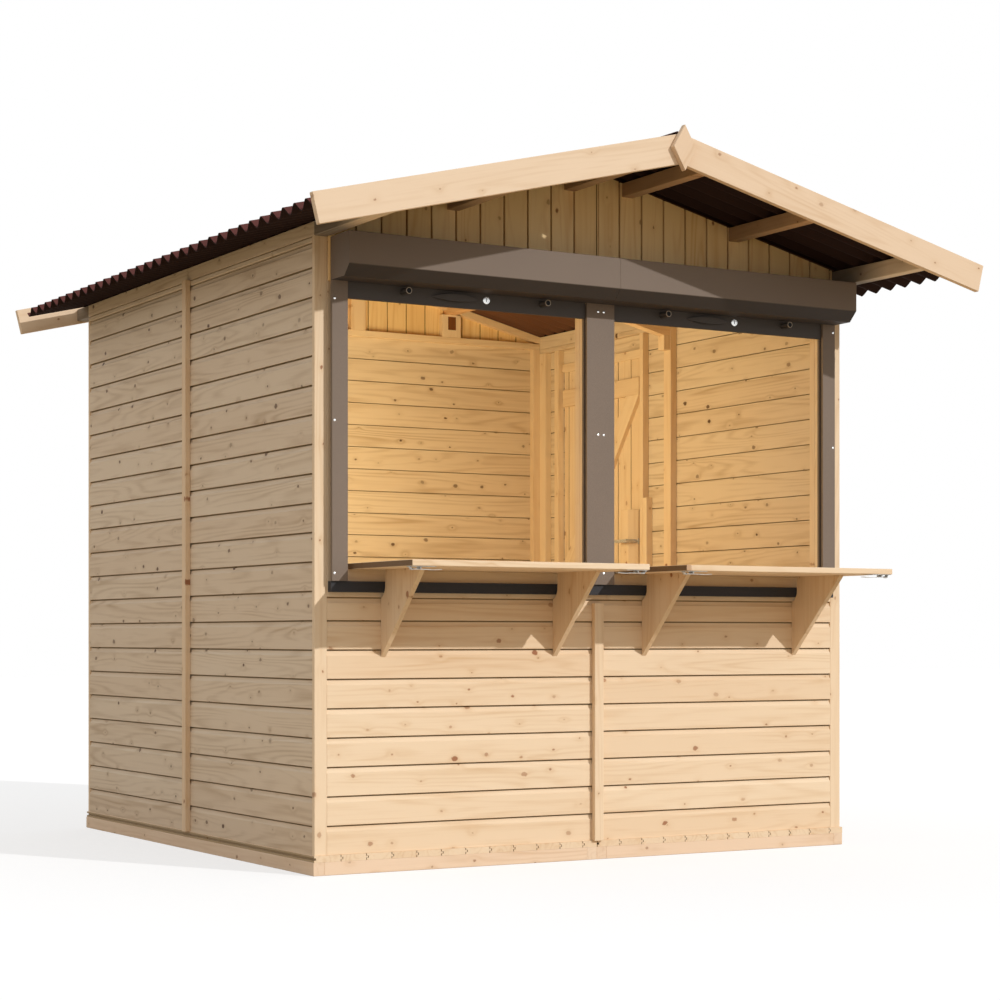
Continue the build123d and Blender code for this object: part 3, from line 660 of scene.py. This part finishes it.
# %% Gables
gable_cover = 0.0862
roof_slope = 0.24434                        # rise over run
face_slot, face_slot_depth = 0.0062, 0.011  # beside a board's right edge, in its face
back_slot = 0.0045                          # width and depth, beside its left edge, in its back
arris = 0.0006                              # the planed edges of the face
tongued_joint = (4, 5, 8, 9)                # edges of the outline inside the slots


def tongued(low, high, thick):
    """Outline of an upright board (across, out), with a slot in its face and one in its back."""
    right = high - face_slot
    floor = thick - face_slot_depth
    return np.array([
        (low, back_slot), (low, thick - arris), (low + arris, thick), (right - arris, thick),
        (right, thick - arris), (right, floor), (high, floor),
        (high, 0.0), (low + back_slot, 0.0), (low + back_slot, back_slot)])


def upright(low, joints, top, out_axis, inner, thick):
    """Upright boards between the joints, up to the height that top gives for a place across."""
    boards = []
    across = (1, 0, 0) if out_axis[1] else (0, 1, 0)
    for left, right in zip(joints[:-1], joints[1:]):
        profile = tongued(left, right, thick)
        reach = top(profile[:, 0])
        profile += (0.0, inner)
        boards.append(straight_board(profile, low, reach, up, across, out_axis, tongued_joint))
    return boards


narrowest = 0.012                           # a board at the end of a row is no narrower


def joints_between(low, high, first, cover):
    """Places of the joints at first + n cover inside a stretch, with its two ends."""
    inside = first + cover * np.arange(-30, 31)
    inside = inside[(inside > low + narrowest) & (inside < high - narrowest)]
    return np.concatenate([[low], inside, [high]])


def gable(node_name, out, first):
    low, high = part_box(node_name)
    joints = joints_between(low.x, high.x, first, gable_cover)
    joints = np.unique(np.append(joints, 0.0))
    ridge = high.z
    boards = upright(low.z, joints, lambda x: ridge - roof_slope * np.abs(x), out,
                     min(low.y * out[1], high.y * out[1]), high.y - low.y)
    timber_piece(node_name + "_boards", boards, spruce_gable_painted_warm_light, "stall", [node_name])


gable("front_gable", (0, -1, 0), -0.004)
gable("back_gable", (0, 1, 0), -0.0075)

# %% [markdown]
# ## Floor
# The floor boards lie from front to back, tongue in groove. Their ends show
# along the foot of the front wall, so the outline itself is modelled and
# carried along each board.

# %% Floor boards
floor_cover = 0.086
floor_side = 1.005              # the floor's outer edges, from its middle
floor_joint = (0, 1, 2, 3, 4, 8)            # edges of the outline inside the joint


def floor_profile(low, high, thick):
    """Outline of a floor board: a groove on the left edge, a tongue on the right."""
    gap, tongue = 0.0026, 0.006
    return np.array([
        (low + gap, 0.0), (low + gap, 0.0065), (low + gap + 0.006, 0.0065),
        (low + gap + 0.006, 0.0135), (low + gap, 0.0135), (low + gap, thick - 0.0008),
        (low + gap + 0.0008, thick), (high - 0.0008, thick), (high, thick - 0.0008),
        (high, 0.0128), (high + tongue, 0.0128), (high + tongue, 0.0072), (high, 0.0072), (high, 0.0),
    ])


def floor_boards(node_name, joints):
    low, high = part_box(node_name)
    boards = []
    for left, right in zip(joints[:-1], joints[1:]):
        profile = floor_profile(left, right, high.z - low.z) + (0.0, low.z)
        if right == joints[-1]:
            profile[:, 0] = np.minimum(profile[:, 0], right)
        boards.append(straight_board(profile, low.y, high.y, (0, 1, 0), (1, 0, 0), up, floor_joint))
    timber_piece(node_name + "_boards", boards, spruce, "stall", [node_name])


left_joints = np.concatenate([[-floor_side], -0.9147 + floor_cover * np.arange(11), [0.0]])
right_joints = np.concatenate([0.0005 + floor_cover * np.arange(12), [floor_side]])
floor_boards("floor_left", left_joints)
floor_boards("floor_right", right_joints)

# %% [markdown]
# ## Frame, trim and fascia
# The rest of the joinery is straight timber, taken piece by piece from the
# model. Fascias and purlins have a sloping section, so their outline is read
# along the depth of the stall.

# %% Straight timbers
for name in ("floor_beams_left", "floor_beams_right", "floor_cross_beams"):
    sawn(name, finish=spruce_pale)
for name in ("left_wall_studs", "right_wall_studs", "back_wall_studs", "wall_rails"):
    sawn(name)
for name in ("corner_trims", "cover_battens", "window_sills"):
    sawn(name)
for name in ("fascia_left", "fascia_right", "fascia_lozenges"):
    sawn(name, axis=1, finish=spruce_fascia, ease=0.002)
sawn("frame_blocks")
block_thickness = 0.028
inlay_half_width, inlay_foot, inlay_top, inlay_thickness = 0.018, 1.966, 2.019, 0.0012
room_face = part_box("frame_blocks")[1].y - block_thickness
inlays = []
for x in (-0.536, 0.536):
    outline = rectangle(x - inlay_half_width, x + inlay_half_width, inlay_foot, inlay_top)
    rings = slab(outline, 1, room_face - inlay_thickness, room_face, 0.0004)
    inlays.append((rings, up, (0, -1, 0)))
timber_piece("prop_inlays", inlays, spruce_dark, "stall", [])
for side in ("left", "right"):
    sawn(f"counter_{side}", finish=spruce_counter, ease=0.0015)
sawn("door_lock_blocks")

# %% [markdown]
# ## Purlins and wall plates
# The purlins carry the sheets from gable to gable and out to the fascias. The
# two that lie on the side walls are in two lengths that meet over the middle
# stud. Under them each wall has a plate with a thin strip on its outer side.
# The model has each of these as one bar, which is cut here into its timbers.

# %% Purlins and wall plates
def limited(points, axis, low, high):
    """The part of a bar between two places on an axis."""
    cut = points.copy()
    cut[:, axis] = np.clip(cut[:, axis], low, high)
    return cut


purlin_joint = 0.009
beyond = 9.0                                # further out than any timber reaches
purlin_ease = 0.0016
wall_purlins, purlins = [], []
for points in solids("purlins"):
    if abs(points[:, 0]).min() > 0.9:       # one that lies on a side wall
        for low, high in ((-beyond, purlin_joint), (purlin_joint, beyond)):
            wall_purlins.append(bar(limited(points, 1, low, high), purlin_ease, 1))
    else:
        purlins.append(bar(points, purlin_ease, 1))
timber_piece("purlin_timbers", purlins, spruce_purlin_painted_shade, "stall", ["purlins"])
timber_piece("wall_purlin_timbers", wall_purlins, spruce_wall_purlin_painted_shade, "stall", [])

stud_low, stud_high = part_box("back_wall_studs")
strip_drop, strip_ease = 0.0022, 0.0026     # the outer strip's top lies lower, and is rounder
plates = []
for points in solids("side_wall_plates"):
    outer = np.sign(points[0, 0]) * stud_high.x
    inside = limited(points, 1, -stud_low.y, stud_low.y)
    plates.append(bar(limited(inside, 0, -stud_high.x, stud_high.x), purlin_ease, 1))
    outside = limited(points, 0, *sorted((outer, outer * 2.0)))
    outside[outside[:, 2] > outside[:, 2].mean(), 2] -= strip_drop
    plates.append(bar(outside, strip_ease, 1))
timber_piece("plate_timbers", plates, spruce_painted_cool_shade, "stall", ["side_wall_plates"])

# %% [markdown]
# ## Front posts
# Each front post is a stud with a facing board on it from the sill upwards,
# which stops against the corner strips. Both are plain bars between heights
# that are read from their neighbours.

# %% Front posts
boards_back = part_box("front_wall_left")[1].y
facing_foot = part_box("window_sills")[0].z
facing_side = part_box("front_gable")[1].x
posts = []
for points in solids("front_wall_posts"):
    (left, face, low), (right, back, high) = points.min(0), points.max(0)
    stud = rectangle(left, right, boards_back, back)
    posts.append((slab(stud, 2, low, high), up, (0, 1, 0)))
    left, right = max(left, -facing_side), min(right, facing_side)
    facing = rectangle(left, right, face, boards_back)
    posts.append((slab(facing, 2, facing_foot, high), up, (0, -1, 0)))
timber_piece("front_posts", posts, spruce, "stall", ["front_wall_posts"])

# %% [markdown]
# ## Counter brackets
# Each bracket is glued up from tongued boards, with a hollow at the back where
# it passes the steel sill. One plate would lose the joints between the boards,
# so each board gets its own outline: an arc, a straight slope or both.

# %% Brackets
notch_depth, notch_rise, notch_height = 0.028, 0.036, 0.084
strip_cover = 0.070
blunt_toe = 0.004


def bracket_strips(points):
    """The upright boards of one bracket. Its back edge is an arc of radius
    (depth^2 + rise^2) / (2 depth) up to the hollow, and its front edge is straight."""
    (left, toe, low), (right, wall, top) = points.min(0), points.max(0)
    radius = (notch_depth ** 2 + notch_rise ** 2) / (2 * notch_depth)
    turn = np.linspace(0.0, np.arctan2(notch_rise, radius - notch_depth), 7)
    arc = np.stack([wall - notch_depth + radius * (1.0 - np.cos(turn)),
                    top - notch_height + notch_rise - radius * np.sin(turn)], 1)
    slope = (top - low) / (wall - toe)
    joints = [wall - strip_cover, wall - 2 * strip_cover, wall - 3 * strip_cover]

    def under(y):
        return low + slope * (wall - y)

    strips = [np.concatenate([[(wall - notch_depth, top)], arc, [(wall, low)],
                              [(joints[0], under(joints[0])), (joints[0], top)]])]
    for near, far in zip(joints[:-1], joints[1:]):
        strips.append(np.array([(near, top), (near, under(near)), (far, under(far)), (far, top)]))
    strips.append(np.array([(joints[-1], top), (joints[-1], under(joints[-1])),
                            (toe + blunt_toe, top - blunt_toe), (toe + blunt_toe, top)]))
    return [(slab(strip, 0, left, right, 0.0006), up, (1, 0, 0)) for strip in strips]


strips = [strip for points in solids("counter_brackets") for strip in bracket_strips(points)]
timber_piece("bracket_boards", strips, spruce, "stall", ["counter_brackets"])

# %% [markdown]
# ## The door
# The door is a ledged and braced one: upright boards, three ledges across them,
# and two braces that rise towards the lock and carry the door's weight down to
# its hinges. A brace keeps its width on the slope, which sets how long its
# sawn ends are.

# %% Door
leaf_low, leaf_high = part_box("door_leaf")
door_cover = 0.0915
door_joints = joints_between(leaf_low.y, leaf_high.y, leaf_low.y + door_cover, door_cover)
leaf = upright(leaf_low.z, door_joints, lambda y: np.full(len(y), leaf_high.z),
               (1, 0, 0), leaf_low.x, leaf_high.x - leaf_low.x)
timber_piece("door_boards", leaf, spruce, "door", ["door_leaf"])

ledge_low, ledge_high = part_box("door_ledges")
ledge_width, brace_width = 0.068, 0.074
near, far = ledge_low.y, ledge_high.y
middle = (ledge_low.z + ledge_high.z - ledge_width) / 2
bottoms = (ledge_low.z, middle, ledge_high.z - ledge_width)
views = [rectangle(near, far, low, low + ledge_width) for low in bottoms]
ways = [(0, 1, 0)] * 3
for foot, head in ((bottoms[0] + ledge_width, middle), (middle + ledge_width, bottoms[2])):
    step = 0.0
    for _ in range(20):         # the sawn end is width / cos(lean), and the lean depends on it
        step = brace_width / np.cos(np.arctan2(far - near - step, head - foot))
    views.append([(far, foot), (far - step, foot), (near, head), (near + step, head)])
    ways.append((0, near - far + step, head - foot))
ledges = [(slab(np.array(view), 0, ledge_low.x, ledge_high.x), way, (1, 0, 0))
          for view, way in zip(views, ways)]
timber_piece("door_ledges_and_braces", ledges, spruce, "door", ["door_ledges"])

# %% [markdown]
# ## Coated steel
# The shutters' boxes and guides are rolled from sheet with a dark baked paint,
# and the sill from a darker one. The bars below the boxes get a darker copy of
# the boxes' paint: painted shade. Such paint is never quite even: fine specks
# and a slow change of tone. Faces that look down are painted darker, as painted
# shade. Two noises and the direction of the face give that at every distance.

# %% Coated steel
def coated(name, darker, lighter, grain=900.0, under=1.0):
    """Painted steel. under is how light its downward faces are painted: painted shade."""
    material, tree, shader = new_material(name)
    where = surface_place(tree)
    speck = noise(tree, where, grain, 2.0, 0.7)
    patch = noise(tree, where, 3.0, 3.0)
    tone = scaled(tree, speck, 0.7, calc(tree, "MULTIPLY", patch, 0.15))
    down = scaled(tree, split(tree, surface_place(tree, "Normal"))[2], -4.0, -1.0, clamp=True)
    colour = mix(tree, tone, darker, lighter)
    shaded_below = mix(tree, 1.0, colour, (under, under, under, 1.0), "MULTIPLY")
    dress(tree, shader, mix(tree, down, colour, shaded_below), scaled(tree, speck, 0.2, 0.5), shine=0.2)
    roughen(tree, shader, speck, 0.25, 0.0004)
    return material


# The boxes' downward faces are painted much darker: painted shade.
steel = coated("coated_steel", linear(88, 77, 70), linear(160, 142, 126), under=0.20)
# The bars are a darker copy of the boxes' paint, darker again below: painted shade under the boxes.
bar_steel_painted_shade = coated("bar_steel_painted_shade", linear(57, 53, 52), linear(103, 97, 94), under=0.45)
dark = coated("dark_steel", linear(42, 43, 47), linear(67, 66, 68), 700.0)
rim_steel = coated("rim_steel", linear(150, 138, 128), linear(206, 196, 186), 600.0)
# A near-black finish: painted shade for the stops' hollow ends.
hollow_shade = coated("hollow_painted_shade", linear(9, 9, 10), linear(18, 17, 17), 600.0)
print("coated steels ready")

# %% [markdown]
# ## Zinc
# Hinges and latches are dipped in zinc, which freezes in small crystals, each
# with its own tone: the cells of a Voronoi pattern. Screws and locks are
# plated and polished, so they are plain bright metal.

# %% Zinc and bright zinc
zinc, tree, shader = new_material("zinc")
spangle = node(tree, "TexVoronoi", {"Vector": surface_place(tree), "Scale": 220.0}).outputs["Color"]
tone = split(tree, spangle)[0]
colour = mix(tree, tone, linear(178, 178, 176), linear(218, 217, 214))
dress(tree, shader, colour, scaled(tree, tone, 0.15, 0.3), metal=0.45)

bright, tree, shader = new_material("bright_zinc")
brushed = noise(tree, surface_place(tree), 1500.0, 2.0)
colour = mix(tree, brushed, linear(236, 236, 234), linear(252, 252, 250))
dress(tree, shader, colour, scaled(tree, brushed, 0.1, 0.12), metal=1.0)
print("zinc ready")

# %% [markdown]
# ## Corrugated sheet
# The roof is bitumen sheet, dyed red on top and dark brown below. Under the
# eaves the underside is painted darker still, as painted shade, and over the
# room paler, as painted light from the lamp inside. One finish reads which way a
# face looks and whether it lies outside the walls, so both sheets and the ridge
# cap keep their own meshes.

# %% Bitumen
bitumen, tree, shader = new_material("bitumen_sheet")
where = surface_place(tree)
grit = noise(tree, where, 420.0, 3.0, 0.7)
patch = noise(tree, where, 5.0, 3.0)
tone = scaled(tree, grit, 0.55, calc(tree, "MULTIPLY", patch, 0.35))
faces_up = scaled(tree, split(tree, surface_place(tree, "Normal"))[2], 4.0, 0.55, clamp=True)
above = mix(tree, tone, linear(45, 25, 24), linear(126, 74, 68))
# Underneath: painted shade under the eaves, painted lamplight over the room.
eaves_underside_shade = mix(tree, tone, linear(29, 17, 13), linear(55, 35, 27))
room_underside_lamplight = mix(tree, tone, linear(78, 53, 40), linear(126, 88, 67))
across, depth = (calc(tree, "ABSOLUTE", part) for part in split(tree, where)[:2])
outside = calc(tree, "GREATER_THAN", calc(tree, "MAXIMUM", across, depth), wall_face)
below = mix(tree, outside, room_underside_lamplight, eaves_underside_shade)
dress(tree, shader, mix(tree, faces_up, below, above), scaled(tree, grit, 0.15, 0.75), shine=0.1)
roughen(tree, shader, grit, 0.5, 0.0008)
print("sheet finish ready")

# %% [markdown]
# ## Metal pieces
# Where the model's shape is already the real one its mesh stays, and `paint`
# gives it a finish. The shutter boxes are folded with crisp edges: they get a
# narrow bevel and stay flat-shaded, so that each fold is a clear line.

# %% Metal pieces and nodes that stay
def metal_piece(name, shapes, finish, body, nodes, rounded=True):
    """One object from closed chains of rings, smooth where they are round."""
    mesh = joined(name, [skin(rings) for rings in shapes])
    if rounded:
        mesh.shade_smooth()
        mesh.set_sharp_from_angle(angle=radians(35.0))
    print(f"{name}: {len(shapes)} parts, {len(mesh.polygons)} faces")
    return put(name, mesh, finish, body, nodes)


def paint(finish, *names):
    """Gives a finish to nodes of the model that keep their own mesh."""
    for name in names:
        mesh = frame["nodes"][name].data
        mesh.materials.clear()
        mesh.materials.append(finish)


paint(spruce_rafter, "rafters_left", "rafters_right")
paint(steel, "shutter_guides")
paint(bar_steel_painted_shade, "shutter_bars")
paint(dark, "shutter_sill")
for side in ("left", "right"):
    box_rings = [bar(points, 0.0012, 0)[0] for points in solids(f"shutter_box_{side}")]
    metal_piece(f"shutter_box_{side}_folded", box_rings, steel, "stall",
                [f"shutter_box_{side}"], rounded=False)
paint(bitumen, "roof_sheet_left", "roof_sheet_right", "ridge_cap")
paint(zinc, "hinge_plates", "door_straps", "door_handles")

# %% [markdown]
# ## Small steel parts
# Screw heads, stop rings and lock discs are turned shapes: a profile of radius
# and height carried round an axis, where Blender's cylinders would need a bevel
# each. `turned` gives its rings, and the same `skin` closes them.

# %% Turned parts
def turned(stations, centre, axis, around=20):
    """Rings of radius r at distance h along the axis: centre + h axis + r (cos t e1 + sin t e2)."""
    axis = unit(axis)
    first = unit(np.cross(axis, (0.0, 0.0, 1.0) if abs(axis[2]) < 0.9 else (1.0, 0.0, 0.0)))
    second = np.cross(axis, first)
    turn = np.linspace(0.0, 2.0 * np.pi, around, endpoint=False)
    circle = np.cos(turn)[:, None] * first + np.sin(turn)[:, None] * second
    stations = np.asarray(stations, float)
    return np.asarray(centre) + stations[:, None, :1] * circle + stations[:, None, 1:] * axis


# %% [markdown]
# ## Hinges and latches of the counters
# Each counter turns on small hinges behind it and is held by a toggle latch at
# each end: a plate, a lever on a pivot and a bent hook. They are flat strips,
# so an outline seen from the front and a thickness describe each one.

# %% Hinges and latches
def flat_part(outline, near, far, x_end, inward):
    """A strip cut to an outline of (distance in from the counter's end, height)."""
    outline = np.array(outline)
    return slab(np.stack([x_end + inward * outline[:, 0], outline[:, 1]], 1), 1, near, far, 0.0003)


def latch(x_end, inward, near, top):
    """A toggle latch: a plate under the counter, a lever below it on a pivot, and a hook."""
    plate = [(0.004, top - 0.0016), (0.080, top - 0.0016), (0.080, top), (0.004, top)]
    lever = [(0.010, top - 0.0100), (0.062, top - 0.0104), (0.076, top - 0.0116), (0.105, top - 0.0096),
             (0.105, top - 0.0080), (0.076, top - 0.0100), (0.062, top - 0.0088), (0.010, top - 0.0084)]
    hook = [(0.0, top - 0.0034), (0.0040, top - 0.0034), (0.0066, top - 0.0106), (0.0110, top - 0.0120),
            (0.0140, top - 0.0060), (0.0122, top - 0.0056), (0.0100, top - 0.0102), (0.0078, top - 0.0094),
            (0.0054, top - 0.0018), (0.0, top - 0.0018)]
    pivot = np.array([(2.4, 0.0), (2.8, 0.4), (2.8, 23.6), (2.4, 24.0)]) / 1000.0
    place = (x_end + inward * 0.034, near + 0.009, top - 0.0050)
    strips = ((plate, 0.0, 0.042), (lever, 0.012, 0.030), (hook, 0.014, 0.028))
    parts = [flat_part(shape, near + low, near + high, x_end, inward) for shape, low, high in strips]
    return parts + [turned(pivot, place, (0.0, 1.0, 0.0), 12)]


for side in ("left", "right"):
    name = f"counter_hardware_{side}"
    parts = []
    counter_left_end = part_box(f"counter_{side}")[0].x
    for points in solids(name):
        low, high = points.min(0), points.max(0)
        if len(points) > 8:                   # a hinge: a knuckle and the leaf behind the counter
            length, radius, leaf_thickness = 1000.0 * (high[0] - low[0]), 0.003, 0.0015
            knuckle = np.array([(2.7, 0.0), (3.0, 0.3), (3.0, length - 0.3), (2.7, length)]) / 1000.0
            place = (low[0], high[1] - radius, low[2] + radius)
            parts.append(turned(knuckle, place, (1.0, 0.0, 0.0), 16))
            leaf = rectangle(low[1], low[1] + leaf_thickness, low[2] + radius, high[2])
            parts.append(slab(leaf, 0, low[0], high[0], 0.0003))
        elif low[0] < counter_left_end + 0.01:
            parts += latch(low[0], 1.0, low[1], high[2])
        else:
            parts += latch(high[0], -1.0, low[1], high[2])
    metal_piece(name + "_parts", parts, zinc, f"counter_{side}", [name])

# %% [markdown]
# ## Screws, stops and locks
# Round-headed screws hold the guides. On each shutter's bar sit two stops with
# a steel rim, which meet the box when the curtain is up, and a cylinder lock.
# A black disc just inside each rim is painted shade for the stop's hollow end,
# and a thin dark slab on each lock is painted shade for its keyhole. Profiles
# are in millimetres, as on a turner's drawing.

# %% Screws, stops and locks
front = (0.0, -1.0, 0.0)
screw = np.array([(4.4, 0.0), (4.4, 0.5), (3.9, 1.4), (2.6, 2.1), (0.4, 2.4)]) / 1000.0
guide_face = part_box("shutter_guides")[0].y
screw_places = [(-0.946, 1.725), (-0.946, 1.361), (-0.946, 0.9045),
                (0.945, 1.753), (0.945, 1.360), (0.945, 0.9045)]
screw_places += [(x, z) for x in (-0.010, 0.011) for z in (1.754, 1.360, 0.917)]
screws = [turned(screw, (x, guide_face, z), front) for x, z in screw_places]
metal_piece("guide_screws", screws, bright, "stall", [])

stop_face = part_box("shutter_bars")[0].y
stop_places, stop_height = (-0.711, -0.217, 0.243, 0.737), 1.762
rim = np.array([(8.0, 0.0), (10.0, 0.0), (10.2, 0.8), (9.8, 1.4), (8.8, 1.6), (8.2, 1.2),
                (8.0, 0.4), (7.7, 0.35)]) / 1000.0
rims = [turned(rim, (x, stop_face, stop_height), front, 28) for x in stop_places]
metal_piece("stop_rims", rims, rim_steel, "stall", [])
# A black disc just inside each rim: painted shade in the stop's hollow end.
hollow = np.array([(8.1, 0.05), (8.1, 0.45), (0.3, 0.5)]) / 1000.0
hollows = [turned(hollow, (x, stop_face, stop_height), front) for x in stop_places]
metal_piece("stop_hollows", hollows, hollow_shade, "stall", [])

bar_face = -0.9955                          # where the bars' flat fronts lie, behind the stops
lock_places, lock_height = (-0.418, 0.535), 1.760
lock = np.array([(12.2, 0.0), (12.2, 1.6), (11.4, 2.4), (8.0, 2.6), (7.6, 2.2), (0.4, 2.2)]) / 1000.0
locks = [turned(lock, (x, bar_face, lock_height), front, 32) for x in lock_places]
metal_piece("shutter_locks", locks, bright, "stall", [])
# Each keyhole is a thin dark slab on the lock's face: painted shade for the slot.
half_width, half_height = 0.0011, 0.0055
keyholes = []
for x in lock_places:
    slit = rectangle(x - half_width, x + half_width, lock_height - half_height, lock_height + half_height)
    keyholes.append(slab(slit, 1, bar_face - 0.0026, bar_face - 0.0022, 0.0001))
metal_piece("keyholes", keyholes, dark, "stall", [])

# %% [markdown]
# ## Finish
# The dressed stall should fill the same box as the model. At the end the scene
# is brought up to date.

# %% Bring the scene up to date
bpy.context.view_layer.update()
